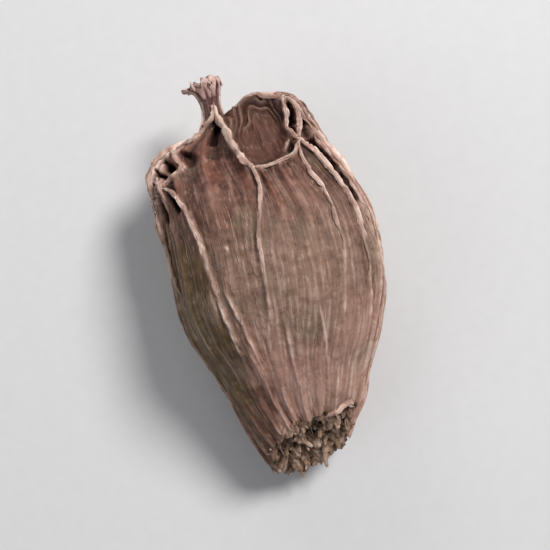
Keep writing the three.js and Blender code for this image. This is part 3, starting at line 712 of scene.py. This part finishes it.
def column_steps(places):
    """How many columns apart each ring's points are: more where the husk is thin."""
    thin = (places < TORN_RIM + 0.15) | (places > PLACE["crown"] + 0.4)
    thinnest = (places < PLACE["scar_wall"] - 0.4) | (places > PLACE["neck_root"] + 0.3)
    return np.where(thinnest, 4, np.where(thin, 2, 1))


def build_husk(material):
    """The whole husk as one closed mesh, with the masks that its material reads."""
    places, along = ring_places()
    a, p = np.meshgrid(column_coordinates(), places)
    d = np.broadcast_to(along[:, None], a.shape)
    points, masks = husk_surface(a, p, d)
    shown = np.arange(COLUMNS) % column_steps(places)[:, None] == 0

    def closed(values):
        return capped(values[shown], [values[row, shown[row]].mean(axis=0) for row in (0, -1)])

    v = along / along[-1]
    faces, uvs = ring_faces([1, *shown.sum(axis=1).tolist(), 1], [v[0], *v, v[-1]])
    masks = {key: closed(values) for key, values in colour_masks(masks, a, p, d).items()}
    return new_object("husk", closed(points), faces, material, masks, uvs)


# A closed strand: its middle line, half width, half thickness and the way out, and then its masks
Tube = namedtuple("Tube", "centres across thick outward pale place raised hollow", defaults=(0.4, 0.0))


def tube_points(tube, index, sides, roughness):
    """The points of a tube and how its fibres flow there: its first tip, its rings and its last tip."""
    centres, thick = tube.centres, tube.thick
    along = unit(np.gradient(centres, axis=0))
    side = unit(np.cross(along, tube.outward))
    lift = unit(np.cross(side, along))
    turn = np.arange(sides) * TAU / sides
    length = np.concatenate([[0], np.cumsum(np.linalg.norm(np.diff(centres, axis=0), axis=1))])
    rough = 1 + roughness * noise(np.arange(sides) / 2, length[:, None] / 0.25, sides // 2, 60 + index)
    ring = side[:, None] * np.cos(turn)[:, None] * tube.across[:, None, None]
    ring = ring + lift[:, None] * np.sin(turn)[:, None] * thick[:, None, None]
    points = (centres[:, None] + ring * rough[..., None]).reshape(-1, 3)
    tips = centres[[0, -1]] + np.array([[-1], [1]]) * along[[0, -1]] * thick[[0, -1], None]
    start = index * 0.37
    flow = np.broadcast_arrays(np.cos(turn) / 20 + start, np.sin(turn) / 20, length[:, None] / 10 + start)
    flow = np.stack(flow, axis=-1).reshape(-1, 3)
    return capped(points, tips), capped(flow, flow[[0, -1]])


def tube_masks(tube, sides):
    """The masks of a tube's points, paler on its outer side as painted light, and darker where it faces the
    skin as painted shade.
    """
    outer = {"pale": 0.75 + 0.25 * np.sin(np.arange(sides) * TAU / sides)}
    masks = {}
    for key in ("pale", "raised", "hollow", "place"):
        value = np.broadcast_to(getattr(tube, key), len(tube.centres))
        value = value[:, None] * outer.get(key, np.ones(sides))
        masks[key] = capped(value.ravel(), value[[0, -1], 0])
    return masks


def tube_mesh(name, tubes, material, sides, roughness=0.1):
    """Closed tubes as one object."""
    vertices, masks, faces, uvs = [], [], [], []
    first = 0
    for index, tube in enumerate(tubes):
        points, flow = tube_points(tube, index, sides, roughness)
        sizes = [1, *[sides] * len(tube.centres), 1]
        left, width = index / len(tubes), 0.96 / len(tubes)
        tube_faces, tube_uvs = ring_faces(sizes, np.linspace(0, 1, len(sizes)), first, left, width)
        vertices.append(points)
        masks.append({"flow": flow, **tube_masks(tube, sides)})
        faces += tube_faces
        uvs += tube_uvs
        first += len(points)
    joined = {key: np.concatenate([mask[key] for mask in masks]) for key in masks[0]}
    return new_object(name, np.vstack(vertices), faces, material, joined, uvs)


def wander(rng, n, size, steps=4):
    """A smooth random walk round zero along n points, with a knot every few steps."""
    knots = rng.normal(0, size, max(2, n // steps + 2))
    t = np.linspace(0, len(knots) - 1, n)
    i = np.minimum(t.astype(int), len(knots) - 2)
    part = t - i
    part = part * part * (3 - 2 * part)
    return knots[i] * (1 - part) + knots[i + 1] * part


def uneven(*walk):
    """A factor that wanders round 1."""
    return 1 + wander(*walk)


def from_ends(t, rise):
    """0 at both ends of a strand and 1 from a short way in, where t is the share of its length."""
    return np.minimum(1, np.minimum(t, 1 - t) * rise)


def lay_on_skin(skin, plan):
    """A curve in plan laid on the skin, over the gaps that it crosses, and the way out along it."""
    centres, outward = [], []
    for x, y in plan:
        spot, normal, _, _ = skin.ray_cast(Vector((x - AXIS_OFFSET, y, 2 * POD_HEIGHT)), Vector((0, 0, -1)))
        if spot is None:
            spot, normal, _, _ = skin.find_nearest(Vector((x - AXIS_OFFSET, y, POD_HEIGHT / 2)))
        centres.append(spot)
        outward.append(normal)
    centres = np.array(centres)
    highest = np.max(windows(centres[:, 2], 4), axis=0)
    centres[:, 2] = 0.5 * centres[:, 2] + 0.5 * highest
    for _ in range(5):
        centres = np.mean(windows(centres, 2), axis=0)
    return centres, unit(np.mean(windows(np.array(outward), 6), axis=0))


def build_cords(husk, material):
    """The cords that stand on their ridges."""
    rng = np.random.default_rng(51)
    corners = [v.co / MM for v in husk.data.vertices]
    skin = BVHTree.FromPolygons(corners, [face.vertices[:] for face in husk.data.polygons])
    tubes = []
    for name, (_, _, paleness, half_width, points) in CORDS.items():
        if half_width == 0:
            continue
        plan = curve_through(points)
        centres, outward = lay_on_skin(skin, plan)
        n = len(plan)
        t = np.linspace(0, 1, n)
        worn = wear(plan[:, 0], plan[:, 1])
        end = from_ends(t, 5)
        fade = fade_along(name, t)
        across = half_width * (0.7 + 0.3 * end) * (0.2 + 0.8 * fade) * (1 - 0.25 * worn)
        across = across * (1 + wander(rng, n, 0.2) + wander(rng, n, 0.1, 2))
        thick = 0.6 * across * uneven(rng, n, 0.12)
        lift = half_width * (0.25 * end * fade - 0.1 - 0.5 * worn) + wander(rng, n, 0.02)
        centres = centres + outward * lift[:, None]
        side = unit(np.cross(np.gradient(centres, axis=0), outward))
        centres = centres + side * wander(rng, n, 0.05)[:, None]
        pale = paleness * (1 - 0.6 * worn) * (0.3 + 0.7 * fade) * uneven(rng, n, 0.12)
        tubes.append(Tube(centres, across, thick, outward, pale, PLACE["shoulder"], raised=0.5))
    return tube_mesh("cords", tubes, material, 14, 0.22)


def distance_at(p):
    return np.interp(p, *ring_places())


def skin_path(a, p):
    """Points of the husk at rib coordinates a and places p, and the outward direction there."""
    point, _ = husk_surface(a, p, distance_at(p))
    outward, _ = directions(angle_of(a, axis_share(p)), p)
    return point, outward


def build_rib_cords(material):
    """Thin broken cords on the crests of the ribs at the sides and on the underside."""
    rng = np.random.default_rng(55)
    pieces, ribs = [], []
    for rib in RIBS_WITH_CORDS:
        start = TORN_RIM + rng.uniform(0.3, 1.5)
        while start < PLACE["shoulder"] + 1:
            reach = rng.uniform(1.2, 3.5)
            pieces.append(np.linspace(start, min(start + reach, PLACE["roof"]), int(14 * reach)))
            ribs.append(np.full(len(pieces[-1]), float(rib)))
            start += reach + rng.uniform(0.1, 0.7)
    p, rib = np.concatenate(pieces), np.concatenate(ribs)
    points, outwards = skin_path(rib - rib_drift(rib, distance_at(p)), p)
    cuts = np.cumsum([len(piece) for piece in pieces])[:-1]
    tubes = []
    for piece, centres, outward in zip(pieces, np.split(points, cuts), np.split(outwards, cuts)):
        n = len(piece)
        end = from_ends(np.linspace(0, 1, n), 4)
        across = rng.uniform(0.09, 0.15) * (0.35 + 0.65 * end) * uneven(rng, n, 0.2)
        thick = 0.85 * across
        centres = centres + outward * (0.3 * across * end - 0.06 + wander(rng, n, 0.03))[:, None]
        centres[:, 2] = np.maximum(centres[:, 2], thick + FLOOR_GAP)
        pale = rng.uniform(0.35, 0.75) * (0.5 + 0.5 * end) * uneven(rng, n, 0.2)
        tubes.append(Tube(centres, across, thick, outward, pale, piece))
    return tube_mesh("rib_cords", tubes, material, 10, 0.14)


def build_loose_fibres(material):
    """Hair-thin fibres that have come away from the strands at one end."""
    rng = np.random.default_rng(52)
    n = 16
    t = np.linspace(0, 1, n)
    count = (LOOSE_FIBRES, 1)
    a = rng.uniform(0, RIB_COUNT, count) + rng.uniform(-0.2, 0.2, count) * t
    a = a + [wander(rng, n, 0.03, 6) for _ in range(LOOSE_FIBRES)]
    p = rng.uniform(PLACE["stalk_end"], PLACE["shoulder"] + 0.5, count) + rng.uniform(0.5, 1.6, count) * t
    tubes = []
    for point, outward in zip(*skin_path(a, p)):
        loose_end = t if rng.random() < 0.5 else 1 - t
        lift = -0.01 + rng.uniform(0.05, 0.35) * np.maximum(0, loose_end - 0.45) ** 1.5
        centres = point + outward * lift[:, None]
        centres[:, 2] = np.maximum(centres[:, 2], 3 * FLOOR_GAP)
        size = rng.uniform(0.025, 0.05) * (1 - 0.75 * loose_end**3)
        pale = rng.uniform(0.1, 0.4)
        tubes.append(Tube(centres, size * 1.2, size, outward, pale, PLACE["waist"]))
    return tube_mesh("loose_fibres", tubes, material, 5)


def build_torn_end(material):
    """The broken bundles, shreds and fibres of the stalk scar."""
    rng = np.random.default_rng(53)
    n = 12
    t = np.linspace(0, 1, n)
    tubes = []
    for kind, piece in SCAR_PIECES.items():
        count = (piece["count"], 1)
        a = rng.uniform(0, RIB_COUNT, count)
        roots, outwards = skin_path(a, TORN_RIM - rng.uniform(*piece["behind"], count))
        roots, outwards = roots[:, 0], outwards[:, 0]
        if kind != "shred":
            roots = roots + rng.uniform(0, 0.8, count) * (roots.mean(axis=0) - roots)
        for root, outward in zip(roots, outwards):
            length = rng.uniform(*piece["length"])
            heading = unit(np.array([rng.normal(0, 0.4), -1.0, rng.normal(0, 0.4)]))
            bend = rng.normal(0, 0.5, 3)
            centres = root - 0.5 * heading + heading * (length * t)[:, None]
            centres = centres + bend * (length * 0.5 * t**2)[:, None]
            centres = centres + np.stack([wander(rng, n, 0.05) for _ in range(3)], axis=-1)
            taper = 1 - 0.35 * t**2 if kind == "bundle" else 1 - 0.75 * t**1.5
            across = rng.uniform(*piece["width"]) * taper * uneven(rng, n, 0.15, 2)
            centres[:, 2] = np.maximum(centres[:, 2], across + FLOOR_GAP)
            pale = rng.uniform(0, 0.35) + 0.25 * t
            raised = 0.1 + 0.3 * wander(rng, n, 0.5, 2)
            facing = unit(outward + rng.normal(0, 0.2, 3)) + 0 * centres
            on_husk = kind == "shred" and root[0] < HUSK_SIDE_OF_SCAR
            place = PLACE["stalk_end" if on_husk else "scar_wall"]
            # Painted shade, darkest at the root of each piece.
            hollow = 0.6 * (1 - t) ** 0.7
            tubes.append(Tube(centres, across, across * piece["flat"], facing, pale, place, raised, hollow))
    return tube_mesh("torn_end", tubes, material, 10, 0.3)


def build_calyx_lobes(material):
    """The thin broken lobes round the mouth of the dry calyx."""
    rng = np.random.default_rng(54)
    n = 12
    t = np.linspace(0, 1, n)
    on_cup = 0.7  # the share of a lobe that lies on the cup before it stands free
    p = PLACE["calyx_cup"] - 0.6 + 1.5 * np.minimum(t / on_cup, 1)
    beyond = np.maximum(0, t - on_cup) / (1 - on_cup)
    tubes = []
    for index in range(CALYX_LOBES):
        middle = RIB_COUNT * (index + rng.uniform(-0.25, 0.25)) / CALYX_LOBES
        point, outward = skin_path(middle + wander(rng, n, 0.1), p)
        heading = unit(point[6] - point[4] + 0.15 * outward[6])
        reach = rng.uniform(0.0, 0.09)
        centres = point + heading * (reach * beyond)[:, None] + outward * (0.02 + 0.12 * beyond**2)[:, None]
        across = rng.uniform(0.42, 0.6) * (0.35 + 0.65 * ramp(0, 0.5, t)) * (1 - 0.35 * beyond**2)
        thick = 0.1 * (1 - 0.3 * beyond)
        tubes.append(Tube(centres, across, thick, outward, 0.2 + 0.6 * t, PLACE["calyx_lip"], raised=0.3))
    return tube_mesh("calyx_lobes", tubes, material, 8)


# Materials

def srgb(red, green, blue):
    """A colour given as it looks on screen, 0 to 255, as the linear values that a shader takes."""
    linear = [((c / 255 + 0.055) / 1.055) ** 2.4 if c > 10 else c / 255 / 12.92 for c in (red, green, blue)]
    return (*linear, 1.0)


class Shader:
    """A small helper that adds nodes to a material and links them."""

    def __init__(self, name):
        self.material = bpy.data.materials.new(name)
        self.material.use_nodes = True
        self.tree = self.material.node_tree

    def fill(self, sockets, values):
        """Puts a value, or a link from another node, on each named or numbered socket."""
        for key, value in values.items():
            if isinstance(value, bpy.types.NodeSocket):
                self.tree.links.new(value, sockets[key])
            else:
                sockets[key].default_value = value

    def node(self, kind, inputs, output=0, **settings):
        """One output of a new node."""
        node = self.tree.nodes.new("ShaderNode" + kind)
        for key, value in settings.items():
            setattr(node, key, value)
        self.fill(node.inputs, inputs)
        return node.outputs[output]

    def finish(self, surface):
        self.fill(self.tree.nodes["Principled BSDF"].inputs, surface)
        return self.material

    def attribute(self, name, output="Fac"):
        return self.node("Attribute", {}, output, attribute_name=name)

    def maths(self, operation, first, second, clamp=False):
        return self.node("Math", {0: first, 1: second}, operation=operation, use_clamp=clamp)

    def add(self, first, second):
        return self.maths("ADD", first, second)

    def times(self, first, second, clamp=False):
        return self.maths("MULTIPLY", first, second, clamp)

    def swing(self, pattern, size):
        """How far a pattern is from its middle value of a half, times a size."""
        return self.times(self.maths("SUBTRACT", pattern, 0.5), size)

    def spread(self, value, low, high, to_low=0.0, to_high=1.0):
        """The value carried smoothly from one range to another, held at both ends."""
        inputs = dict(enumerate((value, low, high, to_low, to_high)))
        return self.node("MapRange", inputs, interpolation_type="SMOOTHSTEP")

    def noise(self, vector, scale, detail, roughness=0.5):
        inputs = {"Vector": vector, "Scale": scale, "Detail": detail, "Roughness": roughness}
        return self.node("TexNoise", inputs, "Fac")

    def fibrous(self, flow, across, along, detail, roughness=0.6):
        """Noise that is drawn out along the strands."""
        stretched = self.node("Mapping", {"Vector": flow, "Scale": (across, across, along)})
        return self.noise(stretched, 1.0, detail, roughness)

    def mix(self, share, first, second):
        return self.node("Mix", {0: share, 6: first, 7: second}, 2, data_type="RGBA")

    def between(self, pattern, dark, light, low=0.25, high=0.75):
        """A colour that runs from dark to light as a pattern rises."""
        return self.mix(self.spread(pattern, low, high), srgb(*dark), srgb(*light))

    def tinted(self, colour, *tints):
        """A colour with tints laid over it in turn, each given as where it is, its strength and hue."""
        for share, strength, hue in tints:
            colour = self.mix(self.times(share, strength), colour, hue)
        return colour

    def bump(self, height, distance, strength, **below):
        """A bumpy normal, on top of another if that is given as Normal."""
        return self.node("Bump", {"Height": height, "Distance": distance, "Strength": strength, **below})


def husk_patterns(s):
    """The patterns that the husk's colours follow, along its strands and through space."""
    flow = s.attribute("flow", "Vector")
    where = s.node("TexCoord", {}, "Object")
    return SimpleNamespace(
        fibres=s.fibrous(flow, 26, 4.0, 3.0),
        hairs=s.fibrous(flow, 75, 7.0, 2.0),
        flecks=s.fibrous(flow, 34, 14.0, 2.0, 0.5),
        blotches=s.noise(where, 260.0, 3.0, 0.55),
        mottle=s.noise(where, 1100.0, 4.0, 0.6),
        grain=s.noise(where, 2600.0, 3.0, 0.65),
        side=s.node("SeparateXYZ", {0: where}, "X"),
        length=s.node("SeparateXYZ", {0: where}, "Y"),
        place=s.attribute("place"),
    )


def skin_colour(s, tone):
    """The plain skin, darker in its valleys as painted shade and pale on its worn crests."""
    shades = s.tree.nodes.new("ShaderNodeValToRGB")
    s.fill(shades.inputs, {0: tone})
    stops = shades.color_ramp.elements
    stops[0].color, stops[1].color = srgb(50, 33, 27), srgb(186, 156, 141)
    for position, colour in ((0.25, (92, 69, 59)), (0.5, (126, 98, 84)), (0.78, (149, 119, 104))):
        stops.new(position).color = srgb(*colour)
    return shades.outputs[0]


def body_tints(s, pattern, tone, colour):
    """Ashy towards the stalk, brown at the shoulder, olive and russet on the left flank, and blotches."""
    patchy = s.swing(pattern.blotches, 0.014)
    streaky = s.swing(pattern.fibres, 0.0035)
    length = s.add(pattern.length, patchy)
    slant = s.add(s.times(pattern.length, 0.24), s.times(patchy, 0.4))
    ashy = s.spread(length, -0.001, -0.009)
    olive = s.spread(s.add(s.add(pattern.side, streaky), slant), -0.0042, -0.0058)
    russet = s.times(olive, s.spread(length, -0.007, -0.012))
    brown = s.spread(length, 0.0005, 0.008)
    plum = s.spread(pattern.blotches, 0.47, 0.32)
    mossy = s.spread(pattern.blotches, 0.54, 0.68)
    return s.tinted(
        colour,
        (ashy, 0.6, srgb(186, 141, 126)),
        (olive, 0.95, s.between(tone, (58, 42, 16), (104, 78, 36))),
        (russet, 0.7, s.between(tone, (62, 34, 26), (122, 82, 68))),
        (brown, 0.92, s.between(tone, (60, 30, 22), (112, 66, 52))),
        (plum, 0.35, srgb(116, 74, 66)),
        (mossy, 0.35, srgb(112, 104, 82)),
    )


def end_tints(s, pattern, colour):
    """Tan on the stalk scar, mauve on the dry neck, and paler round the lip of the calyx."""
    side = s.add(pattern.side, s.swing(pattern.blotches, 0.0014))
    tan_side = s.spread(side, (HUSK_SIDE_OF_SCAR - 0.7) * MM, (HUSK_SIDE_OF_SCAR + 0.5) * MM, 0.35, 1.0)
    torn = s.times(s.spread(pattern.place, TORN_RIM + 0.1, TORN_RIM - 0.5), tan_side)
    neck = s.spread(pattern.place, PLACE["neck_root"] - 0.2, PLACE["neck"])
    lip = s.spread(pattern.place, PLACE["calyx_cup"] + 0.1, PLACE["calyx_lip"])
    return s.tinted(
        colour,
        (torn, 0.85, s.between(pattern.flecks, (112, 84, 58), (168, 134, 98), 0.35, 0.65)),
        (neck, 0.8, s.between(pattern.fibres, (84, 48, 51), (140, 96, 96), 0.35, 0.65)),
        (lip, 0.6, srgb(198, 154, 150)),
    )


def marks(s, pattern, colour):
    """Pale cords and strands, dust, soot, and painted shade in the sunk places."""
    pale = s.times(s.attribute("pale"), s.spread(pattern.fibres, 0.3, 0.62, 0.6, 1.1), clamp=True)
    uneven = s.add(pattern.mottle, s.times(pattern.hairs, 0.5))
    dust = s.times(s.spread(pattern.flecks, 0.56, 0.72), s.spread(pattern.mottle, 0.42, 0.6))
    soot = s.times(s.spread(pattern.flecks, 0.42, 0.3), s.spread(pattern.mottle, 0.5, 0.38))
    return s.tinted(
        colour,
        (pale, 0.95, s.between(uneven, (208, 170, 154), (250, 224, 211), 0.6, 0.85)),
        (dust, 0.4, srgb(190, 162, 148)),
        (soot, 0.45, srgb(70, 46, 38)),
        # Painted shade: darkens the sunk gaps, the scar, the pocket, the right flank's band and the roots of
        # the scar's pieces.
        (s.attribute("hollow"), 0.85, srgb(50, 30, 24)),
    )


def husk_material():
    """The dried skin, which every piece of the pod has."""
    s = Shader("husk")
    pattern = husk_patterns(s)
    fibres, hairs, mottle, grain = pattern.fibres, pattern.hairs, pattern.mottle, pattern.grain
    # The raised mask puts painted shade in the valleys and lighter wear on the crests.
    tone = s.add(s.times(s.attribute("raised"), 0.26), 0.5)
    for texture, size in ((fibres, 0.3), (mottle, 0.75), (hairs, 0.22), (grain, 0.3)):
        tone = s.add(tone, s.swing(texture, size))
    colour = body_tints(s, pattern, tone, skin_colour(s, tone))
    colour = marks(s, pattern, end_tints(s, pattern, colour))
    fibrous = s.bump(s.add(fibres, mottle), 0.14 * MM, 0.7)
    hairy = s.bump(hairs, 0.09 * MM, 0.7, Normal=fibrous)
    return s.finish({
        "Base Color": colour,
        "Roughness": s.spread(tone, 0.1, 0.9, 0.55, 0.82),
        "Specular IOR Level": 0.3,
        "Normal": s.bump(grain, 0.08 * MM, 0.6, Normal=hairy),
    })


def floor_material():
    s = Shader("floor")
    grain = s.noise(s.node("TexCoord", {}, "Object"), 900.0, 3.0)
    colour = s.mix(grain, srgb(204, 204, 206), srgb(210, 210, 212))
    return s.finish({"Base Color": colour, "Roughness": 0.85, "Specular IOR Level": 0.15})


# The scene

def build_floor():
    half = 3000.0
    corners = [(-half, -half, 0), (half, -half, 0), (half, half, 0), (-half, half, 0)]
    floor = new_object("floor", corners, [[0, 1, 2, 3]], floor_material())
    floor.location.z = -0.02 * MM


def area_light(name, place, size, power, colour):
    """A round soft light, aimed at the pod."""
    light = bpy.data.lights.new(name, "AREA")
    light.shape, light.size, light.energy, light.color = "DISK", size, power, colour
    lamp = bpy.data.objects.new(name, light)
    lamp.location = place
    aim = Vector((0, 0, 0.006)) - Vector(place)
    lamp.rotation_euler = aim.to_track_quat("-Z", "Y").to_euler()
    lamp.visible_camera = False
    bpy.context.scene.collection.objects.link(lamp)


def build_lights():
    area_light("key", (0.16, 0.14, 0.26), 0.12, 1.2, (1.0, 0.98, 0.95))
    area_light("fill", (-0.26, -0.05, 0.18), 0.26, 0.18, (0.95, 0.97, 1.0))
    area_light("back", (-0.05, 0.3, 0.12), 0.16, 0.25, (1.0, 0.98, 0.96))
    world = bpy.data.worlds.new("studio")
    world.use_nodes = True
    background = world.node_tree.nodes["Background"]
    background.inputs["Color"].default_value = (0.9, 0.92, 0.95, 1)
    background.inputs["Strength"].default_value = 0.24
    bpy.context.scene.world = world


def build_camera():
    """Looks straight down, rolled so that the pod leans to the left."""
    lean = math.radians(9.3)
    pod_share_of_frame = 0.76
    sensor, lens = 36.0, 85.0
    data = bpy.data.cameras.new("camera")
    data.sensor_width, data.lens = sensor, lens
    data.clip_start, data.clip_end = 0.005, 20
    camera = bpy.data.objects.new("camera", data)
    view_width = POD_LENGTH * MM / pod_share_of_frame
    distance = view_width * lens / sensor
    camera.location = (0, 0, distance + POD_HEIGHT * MM * 0.6)
    camera.rotation_euler = (0, 0, -lean)
    bpy.context.scene.collection.objects.link(camera)
    bpy.context.scene.camera = camera


skin = husk_material()
husk = build_husk(skin)
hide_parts("pod")
pieces = [
    husk,
    build_cords(husk, skin),
    build_rib_cords(skin),
    build_loose_fibres(skin),
    build_torn_end(skin),
    build_calyx_lobes(skin),
]
for piece in pieces:
    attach(piece, "root")

build_floor()
build_lights()
build_camera()
bpy.context.scene.view_settings.view_transform = "Standard"
